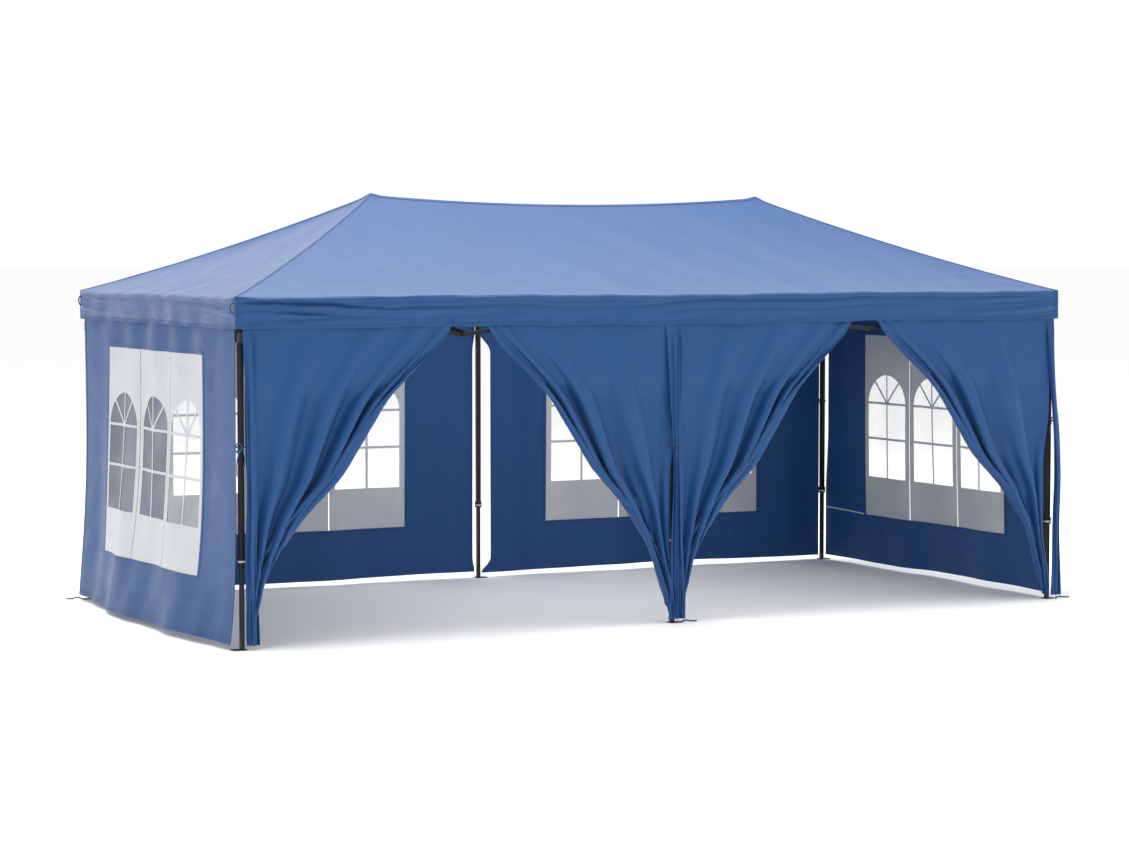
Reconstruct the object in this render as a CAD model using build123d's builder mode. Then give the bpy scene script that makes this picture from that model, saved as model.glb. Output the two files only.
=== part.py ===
from math import sqrt

from build123d import *

# Folding party tent, 6 m by 3 m: six telescoping legs, a scissor truss along every side and
# across the middle of each half, a hipped roof cover with two peaks, and hanging side walls.
# Frame: origin on the ground under the middle of the tent, +X along the long side,
# -Y towards the open front, +Z up. Millimetres.

# ---- Driving dimensions -------------------------------------------------------------------
BAY = 2920.0  # between neighbouring leg axes, on the long and the short sides alike
LUG = 60.0  # leg axis to the truss pivot on a bracket tab
BAR_LENGTH = 1412.0  # between the end pivots of one truss bar
TOP_PIVOT_Z = 2045.0

TUBE, TUBE_WALL = 30.0, 1.2  # upper leg tube
INNER_TUBE, INNER_WALL = 25.0, 1.0  # lower leg tube, which slides inside
TUBE_BOTTOM_Z, TUBE_TOP_Z = 530.0, 2075.0
INNER_TOP_Z = 1000.0
FOOT_LENGTH, FOOT_WIDTH, FOOT_THICK = 90.0, 70.0, 4.0
FOOT_INSET = 25.0  # how far the foot plate reaches past the leg axis on its short side
FOOT_CORNER_R = 8.0
STAKE_HOLE_R, STAKE_HOLE_REACH = 5.0, 48.0

FIT = 0.05  # running clearance on each side of a fit
BRACKET, BRACKET_LOW, BRACKET_TOP = 40.0, 2010.0, 2080.0
COLLAR, COLLAR_BORE = 38.0, 26.0
COLLAR_LOW, COLLAR_TOP = 512.0, 556.0
SLIDER, SLIDER_HEIGHT, SLIDER_BORE = 44.0, 60.0, 31.0
BUTTON_R, BUTTON_PROUD = 8.0, 3.0

TAB, TAB_R = 3.0, 12.0  # thickness and end radius of a bracket tab
TAB_ROOT = 1.0  # how deep a tab runs into its bracket
BAR_WIDE, BAR_THICK, BAR_WALL, BAR_END = 25.0, 12.0, 1.0, 14.0
LAYER = 8.0  # middle of a bar, out of the truss plane
PIN_R, HEAD_R, HEAD_THICK, HEAD_GAP = 3.0, 5.5, 2.0, 0.1
BAR_FACE = LAYER + BAR_THICK / 2
TAB_SIDE = 2.0  # where the pin head of a single bar sits, just past the tab

POLE_R, POLE_WALL, POLE_TOP_Z = 11.0, 1.2, 2700.0
POLE_OFFSET = 45.0  # from the cross truss plane, so that the pole clears its bars
POLE_FOOT = 20.0  # below its pin
CAP_R, CAP_TIP_R, CAP_HEIGHT = 24.0, 8.0, 20.0
LINK_PLATE = 3.0  # sheet thickness of the link under the middle of a front truss
LINK_WIDE = 30.0
LINK_GAP = 2.0  # between the link and the truss that carries it

EAVE_OUT = 42.0  # eave line outside the leg axes
EAVE_Z, PEAK_Z, VALANCE = 2100.0, 2735.0, 190.0
CLOTH, EAVE_ROLL_R, SEAM_GAP = 1.5, 3.0, 2.0
CORNER_GAP = 4.0
WALL_OUT, WALL_CLOTH = 28.0, 1.0  # side walls hang just outside the legs
WALL_TOP_Z, WALL_HEM_Z = 1955.0, 40.0
WALL_SPLIT = 10.0  # from a leg axis to the edge of a wall that ends on it
DOOR_APEX_GAP = 40.0  # from the middle of a bay to where an unzipped half still hangs free
DOOR_TIED = 120.0  # width left where the hem of a door half is drawn to the leg
DOOR_WAIST = 0.42  # place of the waist on the drawn edge, as a share of its width and height

# ---- Worked out ---------------------------------------------------------------------------
REACH = BAY / 2 - LUG  # horizontal reach of a bar with the tent open
DROP = sqrt(BAR_LENGTH**2 - REACH**2)
LOW_PIVOT_Z = TOP_PIVOT_Z - DROP
HOLE_R = PIN_R + FIT
UP = Vector(0, 0, 1)
EAST, WEST = Vector(1, 0, 0), Vector(-1, 0, 0)
BACK, FRONT = Vector(0, 1, 0), Vector(0, -1, 0)

LEGS = {
    "front_left": Vector(-BAY, -BAY / 2, 0),
    "front_middle": Vector(0, -BAY / 2, 0),
    "front_right": Vector(BAY, -BAY / 2, 0),
    "back_left": Vector(-BAY, BAY / 2, 0),
    "back_middle": Vector(0, BAY / 2, 0),
    "back_right": Vector(BAY, BAY / 2, 0),
}
# Each bay: the leg it starts from, the way it runs, and the side that faces outdoors.
BAYS = {
    "front_left": ("front_middle", WEST, FRONT),
    "front_right": ("front_middle", EAST, FRONT),
    "left_end": ("front_left", BACK, WEST),
    "right_end": ("front_right", BACK, EAST),
    "back_left": ("back_left", EAST, BACK),
    "back_right": ("back_right", WEST, BACK),
}
# The cross trusses run front to back under each roof peak.
CROSSES = {"left": WEST, "right": EAST}


def save(piece, label):
    """Labels a finished piece and writes it as one node."""
    piece.part.label = label
    export_step(piece.part, f"parts/{label}.step")


def truss_directions(leg):
    """The ways that the trusses leave a leg, each with its outdoor side."""
    found = []
    for start, along, outside in BAYS.values():
        if start == leg:
            found.append((along, outside))
        if (LEGS[start] + along * BAY - LEGS[leg]).length < 1:
            found.append((along * -1, outside))
    return found


def tab_outline(block):
    """Flat tab with a pivot hole, from a block of the given width out to the pivot."""
    root = block / 2 - TAB_ROOT
    with BuildSketch() as outline:
        with Locations(((root + LUG) / 2, 0)):
            Rectangle(LUG - root, 2 * TAB_R)
        with Locations((LUG, 0)):
            Circle(TAB_R)
            Circle(HOLE_R, mode=Mode.SUBTRACT)
    return outline.sketch


def tab_planes(leg, height):
    """Where the tabs of a bracket stand: one plane for each truss that leaves the leg."""
    at = LEGS[leg] + UP * height
    return [
        Plane(origin=at, x_dir=along, z_dir=outside).offset(-TAB / 2)
        for along, outside in truss_directions(leg)
    ]


def upper_leg(name):
    """Upper tube, the fixed bracket on its top and the collar round its lower end."""
    at = LEGS[name]
    tab = tab_outline(BRACKET)
    with BuildPart() as leg:
        with BuildSketch(Plane(at).offset(TUBE_BOTTOM_Z)):
            Rectangle(TUBE, TUBE)
            Rectangle(TUBE - 2 * TUBE_WALL, TUBE - 2 * TUBE_WALL, mode=Mode.SUBTRACT)
        extrude(amount=TUBE_TOP_Z - TUBE_BOTTOM_Z)

        with BuildSketch(Plane(at).offset(BRACKET_LOW)):
            Rectangle(BRACKET, BRACKET)
            Rectangle(TUBE + 2 * FIT, TUBE + 2 * FIT, mode=Mode.SUBTRACT)
        extrude(amount=TUBE_TOP_Z + FIT - BRACKET_LOW)
        with BuildSketch(Plane(at).offset(TUBE_TOP_Z + FIT)):
            Rectangle(BRACKET, BRACKET)
        extrude(amount=BRACKET_TOP - TUBE_TOP_Z - FIT)
        with BuildSketch(*tab_planes(name, TOP_PIVOT_Z)):
            add(tab)
        extrude(amount=TAB)

        with BuildSketch(Plane(at).offset(COLLAR_LOW)):
            Rectangle(COLLAR, COLLAR)
            Rectangle(COLLAR_BORE, COLLAR_BORE, mode=Mode.SUBTRACT)
        extrude(amount=TUBE_BOTTOM_Z - FIT - COLLAR_LOW)
        with BuildSketch(Plane(at).offset(TUBE_BOTTOM_Z - FIT)):
            Rectangle(COLLAR, COLLAR)
            Rectangle(TUBE + 2 * FIT, TUBE + 2 * FIT, mode=Mode.SUBTRACT)
        extrude(amount=COLLAR_TOP - TUBE_BOTTOM_Z + FIT)
    save(leg, f"leg_{name}")


def lower_leg(name):
    """Lower tube welded to its foot plate, which has a hole for a ground stake."""
    at = LEGS[name]
    side = -1 if at.X < 0 else 1
    with BuildPart() as leg:
        with BuildSketch(Plane(at)):
            with Locations((side * (FOOT_LENGTH / 2 - FOOT_INSET), 0)):
                RectangleRounded(FOOT_LENGTH, FOOT_WIDTH, FOOT_CORNER_R)
            with Locations((side * STAKE_HOLE_REACH, 0)):
                Circle(STAKE_HOLE_R, mode=Mode.SUBTRACT)
        extrude(amount=FOOT_THICK)
        with BuildSketch(Plane(at).offset(FOOT_THICK)):
            Rectangle(INNER_TUBE, INNER_TUBE)
            inside = INNER_TUBE - 2 * INNER_WALL
            Rectangle(inside, inside, mode=Mode.SUBTRACT)
        extrude(amount=INNER_TOP_Z - FOOT_THICK)
    save(leg, f"lower_leg_{name}")


def slider(name):
    """Sliding bracket on a leg, with the round release button of its lock."""
    at = LEGS[name]
    outdoors = BACK if at.Y > 0 else FRONT
    tab = tab_outline(SLIDER)
    with BuildPart() as bracket:
        with BuildSketch(Plane(at).offset(LOW_PIVOT_Z - SLIDER_HEIGHT / 2)):
            Rectangle(SLIDER, SLIDER)
            Rectangle(SLIDER_BORE, SLIDER_BORE, mode=Mode.SUBTRACT)
        extrude(amount=SLIDER_HEIGHT)
        with BuildSketch(*tab_planes(name, LOW_PIVOT_Z)):
            add(tab)
        extrude(amount=TAB)
        face = at + UP * LOW_PIVOT_Z + outdoors * (SLIDER / 2)
        with BuildSketch(Plane(origin=face, x_dir=EAST, z_dir=outdoors)):
            Circle(BUTTON_R)
        extrude(amount=BUTTON_PROUD)
    save(bracket, f"slider_{name}")


def bar(label, start, end, outside, layer, pins):
    """One truss bar between two pivots, with the pins that it carries.

    layer is +1 for the outdoor layer and -1 for the indoor one. Each pin is its place as a
    share of the bar's length, and where its shank starts and stops out of the truss plane.
    """
    along = (end - start).normalized()
    length = (end - start).length
    face = Plane(origin=start, x_dir=along, z_dir=outside)
    section = Plane(origin=start - along * BAR_END, x_dir=outside, z_dir=along)
    with BuildPart() as piece:
        with BuildSketch(section):
            with Locations((layer * LAYER, 0)):
                Rectangle(BAR_THICK, BAR_WIDE)
                inside = (BAR_THICK - 2 * BAR_WALL, BAR_WIDE - 2 * BAR_WALL)
                Rectangle(*inside, mode=Mode.SUBTRACT)
        extrude(amount=length + 2 * BAR_END)
        with BuildSketch(face.offset(layer * LAYER - BAR_THICK)):
            with Locations((0, 0), (length / 2, 0), (length, 0)):
                Circle(HOLE_R)
        extrude(amount=2 * BAR_THICK, mode=Mode.SUBTRACT)
        for share, low, high in pins:
            low_head = low - HEAD_GAP - HEAD_THICK
            with BuildSketch(face.offset(low_head)):
                with Locations((share * length, 0)):
                    Circle(HEAD_R)
            extrude(amount=HEAD_THICK)
            with BuildSketch(face.offset(low - HEAD_GAP)):
                with Locations((share * length, 0)):
                    Circle(PIN_R)
            extrude(amount=high - low + 2 * HEAD_GAP)
            with BuildSketch(face.offset(high + HEAD_GAP)):
                with Locations((share * length, 0)):
                    Circle(HEAD_R)
            extrude(amount=HEAD_THICK)
    save(piece, label)


def truss(name, top, along, outside, ends=True, upper_reach=BAR_FACE, lower_reach=BAR_FACE):
    """Four bars that cross in two pairs, from a top pivot to the one two reaches further on.

    ends says whether the bars' ends are pinned to brackets at the far leg. upper_reach is how
    far the upper middle pin reaches indoors, and lower_reach the lower middle pin outdoors.
    """
    low = top - UP * DROP
    middle_low, far_low = low + along * REACH, low + along * 2 * REACH
    middle_top, far_top = top + along * REACH, top + along * 2 * REACH
    both = (-BAR_FACE, BAR_FACE)
    outer, inner = (-TAB_SIDE, BAR_FACE), (-BAR_FACE, TAB_SIDE)
    near_high_pins = [(0, *outer), (0.5, *both), (1, -BAR_FACE, lower_reach)]
    far_low_pins = [(0, -upper_reach, BAR_FACE), (0.5, *both)]
    inner_start, inner_end = [], []
    if ends:
        far_low_pins.append((1, *outer))
        inner_start.append((0, *inner))
        inner_end.append((1, *inner))
    bar(f"{name}_near_high", top, middle_low, outside, 1, near_high_pins)
    bar(f"{name}_near_low", low, middle_top, outside, -1, inner_start)
    bar(f"{name}_far_low", middle_top, far_low, outside, 1, far_low_pins)
    bar(f"{name}_far_high", middle_low, far_top, outside, -1, inner_end)


def cross_link(name, middle, side):
    """Bent sheet link from the middle of a front truss to the start of a cross truss."""
    plate_y = middle.Y + BAR_FACE + LINK_GAP
    pivot_y = middle.Y + LUG
    cross_x = middle.X - side.X * POLE_OFFSET
    near_x, far_x = middle.X + side.X * LINK_WIDE / 2, cross_x - side.X * TAB / 2
    plate = Plane(origin=(0, plate_y, TOP_PIVOT_Z), x_dir=EAST, z_dir=BACK)
    arm = Plane(origin=(cross_x - TAB / 2, 0, TOP_PIVOT_Z), x_dir=BACK, z_dir=EAST)
    with BuildPart() as bent:
        with BuildSketch(plate):
            with Locations(((near_x + far_x) / 2, 0)):
                Rectangle(abs(near_x - far_x), 2 * TAB_R)
            with Locations((middle.X, 0)):
                Circle(HOLE_R, mode=Mode.SUBTRACT)
        extrude(amount=LINK_PLATE)
        with BuildSketch(arm):
            with Locations(((plate_y + pivot_y) / 2, 0)):
                Rectangle(pivot_y - plate_y, 2 * TAB_R)
            with Locations((pivot_y, 0)):
                Circle(TAB_R)
                Circle(HOLE_R, mode=Mode.SUBTRACT)
        extrude(amount=TAB)
    save(bent, f"cross_link_{name}")


def peak_pole(name, side):
    """Upright pole under a roof peak, hung on the lower middle pin of its cross truss."""
    foot = Vector(side.X * BAY / 2, 0, LOW_PIVOT_Z - POLE_FOOT)
    height = POLE_TOP_Z - foot.Z
    across = Plane(origin=(foot.X - 2 * POLE_R, 0, LOW_PIVOT_Z), x_dir=BACK, z_dir=EAST)
    with BuildPart() as pole:
        with BuildSketch(Plane(foot)):
            Circle(POLE_R)
            Circle(POLE_R - POLE_WALL, mode=Mode.SUBTRACT)
        extrude(amount=height)
        with BuildSketch(across):
            Circle(HOLE_R)
        extrude(amount=4 * POLE_R, mode=Mode.SUBTRACT)
        with BuildSketch(Plane(foot).offset(height)):
            Circle(CAP_R)
        with BuildSketch(Plane(foot).offset(height + CAP_HEIGHT)):
            Circle(CAP_TIP_R)
        loft()
    save(pole, f"peak_pole_{name}")


def roof_side(name, inward, half_eave, half_ridge):
    """One sewn side of the roof cover: its slope, the welt along the eave and the valance."""
    depth = BAY / 2 + EAVE_OUT
    # The end slopes start from the far legs, and all four rise at the same pitch.
    start = BAY + EAVE_OUT if abs(inward.X) > 0.5 else depth
    eave = inward * -start + UP * EAVE_Z
    along = inward.cross(UP)
    rise = PEAK_Z - EAVE_Z
    slope_length = sqrt(depth**2 + rise**2)
    slope_up = (inward * depth + UP * rise).normalized()
    top = [(0, slope_length)]
    if half_ridge:
        top = [(half_ridge, slope_length), (-half_ridge, slope_length)]
    with BuildPart() as cover:
        with BuildSketch(Plane(origin=eave, x_dir=along, z_dir=along.cross(slope_up))):
            with BuildLine():
                Polyline((-half_eave, 0), (half_eave, 0), *top, close=True)
            make_face()
            offset(amount=-SEAM_GAP)
        extrude(amount=CLOTH)
        half = half_eave - CORNER_GAP
        with BuildSketch(Plane(origin=eave - along * half, x_dir=inward, z_dir=along)):
            Circle(EAVE_ROLL_R)
            with Locations((0, -VALANCE / 2)):
                Rectangle(CLOTH, VALANCE)
        extrude(amount=2 * half)
    save(cover, f"canopy_{name}")


def window_walls():
    """The four whole walls, each with a window: one at each end and two along the back."""
    height = WALL_TOP_Z - WALL_HEM_Z
    middle_z = (WALL_TOP_Z + WALL_HEM_Z) / 2
    with BuildPart() as walls:
        for side in (EAST, WEST):
            at = side * (BAY + WALL_OUT) + UP * middle_z
            with BuildSketch(Plane(origin=at, x_dir=BACK, z_dir=side)):
                Rectangle(BAY - 2 * WALL_SPLIT, height)
            extrude(amount=WALL_CLOTH)
            at = side * (BAY / 2) + BACK * (BAY / 2 + WALL_OUT) + UP * middle_z
            with BuildSketch(Plane(origin=at, x_dir=EAST, z_dir=BACK)):
                Rectangle(BAY - 2 * WALL_SPLIT, height)
            extrude(amount=WALL_CLOTH)
    save(walls, "window_walls")


def door_walls():
    """The two front walls, each unzipped from the middle and drawn back to the legs."""
    apex = BAY / 2 - DOOR_APEX_GAP
    waist_z = WALL_HEM_Z + DOOR_WAIST * (WALL_TOP_Z - WALL_HEM_Z)
    with BuildPart() as walls:
        for leg_x, ways in ((-BAY, (1,)), (0, (-1, 1)), (BAY, (-1,))):
            at = FRONT * (BAY / 2 + WALL_OUT) + EAST * leg_x
            for way in ways:
                hem_end, top_end = (way * DOOR_TIED, WALL_HEM_Z), (way * apex, WALL_TOP_Z)
                leg_top, leg_hem = (way * WALL_SPLIT, WALL_TOP_Z), (way * WALL_SPLIT, WALL_HEM_Z)
                with BuildSketch(Plane(origin=at, x_dir=EAST, z_dir=FRONT)):
                    with BuildLine():
                        Polyline(hem_end, leg_hem, leg_top, top_end)
                        ThreePointArc(top_end, (way * apex * DOOR_WAIST, waist_z), hem_end)
                    make_face()
                extrude(amount=WALL_CLOTH)
    save(walls, "door_walls")


# ---- Build --------------------------------------------------------------------------------
for leg_name in LEGS:
    upper_leg(leg_name)
    lower_leg(leg_name)
    slider(leg_name)

# The pins in the middle of the front trusses reach on through the links of the cross trusses.
through_link = BAR_FACE + LINK_GAP + LINK_PLATE
for bay_name, (first_leg, way, outdoors) in BAYS.items():
    first_pivot = LEGS[first_leg] + way * LUG + UP * TOP_PIVOT_Z
    reach_in = through_link if bay_name.startswith("front") else BAR_FACE
    truss(f"truss_{bay_name}", first_pivot, way, outdoors, upper_reach=reach_in)

for cross_name, side in CROSSES.items():
    first_pivot = Vector(side.X * (BAY / 2 - POLE_OFFSET), LUG - BAY / 2, TOP_PIVOT_Z)
    to_pole = POLE_OFFSET + POLE_R
    truss(f"cross_truss_{cross_name}", first_pivot, BACK, side, ends=False, lower_reach=to_pole)
    cross_link(cross_name, side * (BAY / 2) + FRONT * (BAY / 2), side)
    peak_pole(cross_name, side)

roof_side("front", BACK, BAY + EAVE_OUT, BAY / 2)
roof_side("back", FRONT, BAY + EAVE_OUT, BAY / 2)
roof_side("left", EAST, BAY / 2 + EAVE_OUT, 0)
roof_side("right", WEST, BAY / 2 + EAVE_OUT, 0)
window_walls()
door_walls()
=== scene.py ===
from math import cos, hypot, pi, radians, sin

import bpy
import numpy as np
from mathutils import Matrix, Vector


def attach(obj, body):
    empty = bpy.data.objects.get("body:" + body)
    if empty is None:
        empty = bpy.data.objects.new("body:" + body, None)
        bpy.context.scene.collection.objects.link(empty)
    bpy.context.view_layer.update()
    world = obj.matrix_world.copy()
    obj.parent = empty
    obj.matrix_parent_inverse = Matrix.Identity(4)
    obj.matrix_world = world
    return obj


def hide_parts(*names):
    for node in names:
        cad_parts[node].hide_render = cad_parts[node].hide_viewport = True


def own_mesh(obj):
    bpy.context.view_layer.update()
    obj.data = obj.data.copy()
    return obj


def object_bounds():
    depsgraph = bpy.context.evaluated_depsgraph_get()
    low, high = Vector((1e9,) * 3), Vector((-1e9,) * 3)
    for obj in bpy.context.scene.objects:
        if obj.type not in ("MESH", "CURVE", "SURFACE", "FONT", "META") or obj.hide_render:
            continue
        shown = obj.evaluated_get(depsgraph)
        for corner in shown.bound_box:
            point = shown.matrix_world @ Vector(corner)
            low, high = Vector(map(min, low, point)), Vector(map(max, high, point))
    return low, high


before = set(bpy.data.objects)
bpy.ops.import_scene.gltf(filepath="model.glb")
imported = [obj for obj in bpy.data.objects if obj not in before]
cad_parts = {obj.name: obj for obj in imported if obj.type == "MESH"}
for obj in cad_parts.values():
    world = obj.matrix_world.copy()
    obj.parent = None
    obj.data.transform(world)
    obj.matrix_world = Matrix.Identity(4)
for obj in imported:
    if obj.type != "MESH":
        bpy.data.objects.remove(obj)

# Looks of a 3 m by 6 m pop up gazebo: sewn roof cover, four window walls, two front walls
# drawn back to the legs, ties, and the finish of every metal and plastic part. Metres.

# ---- Sizes of the frame -------------------------------------------------------------------
BAY = 2.92  # between neighbouring leg axes
HALF_BAY = BAY / 2
FRONT_Y, BACK_Y = -HALF_BAY, HALF_BAY
EAVE_X, EAVE_Y = BAY + 0.042, HALF_BAY + 0.042
EAVE_Z, PEAK_Z, VALANCE = 2.103, 2.737, 0.19
CLOTH, BAND_CLOTH, VINYL_CLOTH, FILM_CLOTH = 0.0011, 0.0012, 0.0009, 0.0004
WALL_OUT = 0.0285  # side walls hang just outside the leg axes
WALL_TOP, WALL_HEM = 1.955, 0.035
WALL_HEIGHT = WALL_TOP - WALL_HEM
WALL_HALF = HALF_BAY - 0.012
BAND = 0.024  # width of every sewn binding

# ---- Sizes of a window --------------------------------------------------------------------
STRIPS = (-0.60, 0.0, 0.60)  # middles of the three white vinyl strips
STRIP_HALF = 0.2965
WINDOW_HALF, WINDOW_LOW, WINDOW_HIGH = 0.897, 0.39, 1.74
PANE_HALF, PANE_LOW, SPRING, ARCH_TOP = 0.25, 0.68, 1.235, 1.447
CROSSBAR, MUNTIN = 0.97, 0.018

# ---- How the frame folds ------------------------------------------------------------------
CLOSED_BAY = 0.290
KEEP_X = (2 * CLOSED_BAY + 0.084) / (2 * EAVE_X)
KEEP_Y = (CLOSED_BAY + 0.084) / (2 * EAVE_Y)
KEEP_WALL = 0.095
X_AXIS, Y_AXIS = (1, 0, 0), (0, 1, 0)


# ---- Sizes note, camera -------------------------------------------------------------------
def note_size(key, notes={}):
    """Keeps the object's outer box in a dict under this key."""
    low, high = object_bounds()
    notes[key] = [list(low), list(high)]


note_size("after_load")

camera_data = bpy.data.cameras.new("camera")
camera_data.sensor_width = 36
camera_data.lens = 95.2
camera = bpy.data.objects.new("camera", camera_data)
camera.location = (-9.157, -18.117, 2.390)
camera.rotation_euler = (pi / 2 - 0.0585, 0, -0.4665)
bpy.context.scene.collection.objects.link(camera)
bpy.context.scene.camera = camera


# ---- Materials ----------------------------------------------------------------------------
class Nodes:
    """Short hand for building one material's node tree."""

    def __init__(self, name, color, roughness, **settings):
        self.material = bpy.data.materials.new(name)
        self.material.use_nodes = True
        self.tree = self.material.node_tree
        self.shader = self.tree.nodes["Principled BSDF"]
        self.shader.inputs["Base Color"].default_value = (*color, 1)
        self.shader.inputs["Roughness"].default_value = roughness
        for key, value in settings.items():
            self.shader.inputs[key.replace("_", " ")].default_value = value
        self.normal = None
        self.coords = self.tree.nodes.new("ShaderNodeTexCoord")

    def link(self, source, target):
        self.tree.links.new(source, target)

    def noise(self, source, scale, detail=3.0, distortion=0.0, stretch=(1, 1, 1)):
        mapping = self.tree.nodes.new("ShaderNodeMapping")
        mapping.inputs["Scale"].default_value = stretch
        self.link(self.coords.outputs[source], mapping.inputs["Vector"])
        node = self.tree.nodes.new("ShaderNodeTexNoise")
        node.inputs["Scale"].default_value = scale
        node.inputs["Detail"].default_value = detail
        node.inputs["Distortion"].default_value = distortion
        self.link(mapping.outputs["Vector"], node.inputs["Vector"])
        return node.outputs["Fac"]

    def wave(self, source, period, direction):
        node = self.tree.nodes.new("ShaderNodeTexWave")
        node.bands_direction = direction
        node.inputs["Scale"].default_value = 2 * pi / (20 * period)
        self.link(self.coords.outputs[source], node.inputs["Vector"])
        return node.outputs["Fac"]

    def math(self, operation, first, second=None):
        node = self.tree.nodes.new("ShaderNodeMath")
        node.operation = operation
        for socket, value in zip(node.inputs, (first, second)):
            if isinstance(value, (int, float)):
                socket.default_value = value
            elif value is not None:
                self.link(value, socket)
        return node.outputs["Value"]

    def spread(self, factor, low, high):
        """factor from 0 to 1 turned into low to high."""
        node = self.tree.nodes.new("ShaderNodeMapRange")
        node.inputs["From Min"].default_value = 0.3
        node.inputs["From Max"].default_value = 0.7
        node.inputs["To Min"].default_value = low
        node.inputs["To Max"].default_value = high
        self.link(factor, node.inputs["Value"])
        return node.outputs["Result"]

    def mix(self, factor, first, second):
        node = self.tree.nodes.new("ShaderNodeMix")
        node.data_type = "RGBA"
        slots = [i for i in node.inputs if i.type == "RGBA"]
        for socket, value in zip(slots, (first, second)):
            if isinstance(value, tuple):
                socket.default_value = (*value, 1)
            else:
                self.link(value, socket)
        self.link(factor, node.inputs["Factor"])
        return next(o for o in node.outputs if o.type == "RGBA")

    def bump(self, height, distance, strength=1.0):
        node = self.tree.nodes.new("ShaderNodeBump")
        node.inputs["Distance"].default_value = distance
        node.inputs["Strength"].default_value = strength
        self.link(height, node.inputs["Height"])
        if self.normal is not None:
            self.link(self.normal, node.inputs["Normal"])
        self.normal = node.outputs["Normal"]

    def done(self, color=None, roughness=None):
        for value, name in ((color, "Base Color"), (roughness, "Roughness"), (self.normal, "Normal")):
            if value is not None:
                self.link(value, self.shader.inputs[name])
        return self.material


def shade(color, share):
    return tuple(min(1.0, c * share) for c in color)


STITCH, STITCH_INSET, THREAD_R = 0.007, 0.004, 0.0009
YARN = 0.0016  # between neighbouring yarns of the weave


def fabric(name, color, stitched=False, sheen=0.12):
    """Coated polyester: plain weave, soft crinkles, slightly uneven dye and sheen."""
    n = Nodes(name, color, 0.5, Sheen_Weight=sheen, Sheen_Roughness=0.4, Specular_IOR_Level=0.3)
    blotch = n.noise("UV", 1.4, 3.0)
    tint = n.mix(n.spread(blotch, 0.0, 1.0), shade(color, 0.97), shade(color, 1.03))
    weave = n.math("MULTIPLY", n.wave("UV", YARN, "X"), n.wave("UV", YARN, "Y"))
    n.bump(n.noise("UV", 9.0, 4.0, 0.4), 0.0016, 0.5)
    n.bump(n.noise("UV", 42.0, 3.0), 0.0005, 0.5)
    n.bump(weave, 0.00012, 0.35)
    if stitched:
        uv = n.tree.nodes.new("ShaderNodeSeparateXYZ")
        n.link(n.coords.outputs["UV"], uv.inputs["Vector"])
        from_middle = n.math("ABSOLUTE", n.math("SUBTRACT", uv.outputs["Y"], BAND / 2))
        off_line = n.math("ABSOLUTE", n.math("SUBTRACT", from_middle, BAND / 2 - STITCH_INSET))
        on_line = n.math("LESS_THAN", off_line, THREAD_R)
        along = n.math("FRACT", n.math("DIVIDE", uv.outputs["X"], STITCH))
        thread = n.math("MULTIPLY", on_line, n.math("LESS_THAN", along, 0.68))
        tint = n.mix(thread, tint, shade(color, 1.6))
        n.bump(thread, 0.0006)
    return n.done(tint, n.spread(n.noise("UV", 6.0), 0.44, 0.56))


BLUE = (0.010, 0.064, 0.204)
roof_fabric = fabric("roof_fabric", BLUE, sheen=0.34)
wall_fabric = fabric("wall_fabric", BLUE)
band_fabric = fabric("band_fabric", shade(BLUE, 0.9), stitched=True)


def vinyl():
    """White coated sheet, a little wavy, with faint grey handling marks."""
    dull, clean = (0.46, 0.475, 0.495), (0.53, 0.54, 0.555)
    n = Nodes("white_vinyl", (0.50, 0.51, 0.53), 0.45)
    marks = n.spread(n.noise("UV", 5.0, 5.0), 0.0, 1.0)
    n.bump(n.noise("UV", 7.0, 3.0, 0.6), 0.003, 0.5)
    n.bump(n.noise("UV", 60.0, 2.0), 0.0003, 0.4)
    return n.done(n.mix(marks, dull, clean), n.spread(marks, 0.32, 0.46))


def film():
    """Hazy clear window film."""
    n = Nodes("window_film", (0.82, 0.84, 0.86), 0.14, Alpha=0.14)
    n.bump(n.noise("UV", 6.0, 3.0, 0.8), 0.004, 0.6)
    n.bump(n.noise("UV", 25.0, 2.0), 0.0008, 0.4)
    haze = n.noise("UV", 3.0, 4.0)
    n.link(n.spread(haze, 0.10, 0.18), n.shader.inputs["Alpha"])
    return n.done(roughness=n.spread(haze, 0.10, 0.22))


BARE_STEEL = (0.11, 0.11, 0.115)


def powder_coat(name, color, scuffed=False):
    """Powder coated steel: fine orange peel, satin, with dust and, where parts slide, scuffs."""
    n = Nodes(name, color, 0.42, Specular_IOR_Level=0.3)
    n.bump(n.noise("Object", 420.0, 2.0), 0.00025, 0.5)
    dust = n.spread(n.noise("Object", 7.0, 5.0), 0.0, 0.5)
    tint = n.mix(dust, color, shade(color, 1.7))
    if scuffed:
        lines = n.noise("Object", 160.0, 3.0, 0.0, (1, 1, 0.03))
        tint = n.mix(n.spread(lines, 0.0, 0.35), tint, BARE_STEEL)
        n.bump(lines, 0.0002, 0.4)
    return n.done(tint, n.spread(n.noise("Object", 11.0, 4.0), 0.36, 0.52))


def plastic(name, color, roughness):
    """Moulded nylon with a fine spark texture."""
    n = Nodes(name, color, roughness)
    n.bump(n.noise("Object", 650.0, 2.0), 0.0003, 0.6)
    worn = n.spread(n.noise("Object", 16.0, 4.0), 0.0, 1.0)
    tint = n.mix(worn, color, shade(color, 1.35))
    return n.done(tint, n.spread(worn, roughness - 0.06, roughness + 0.08))


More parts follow.
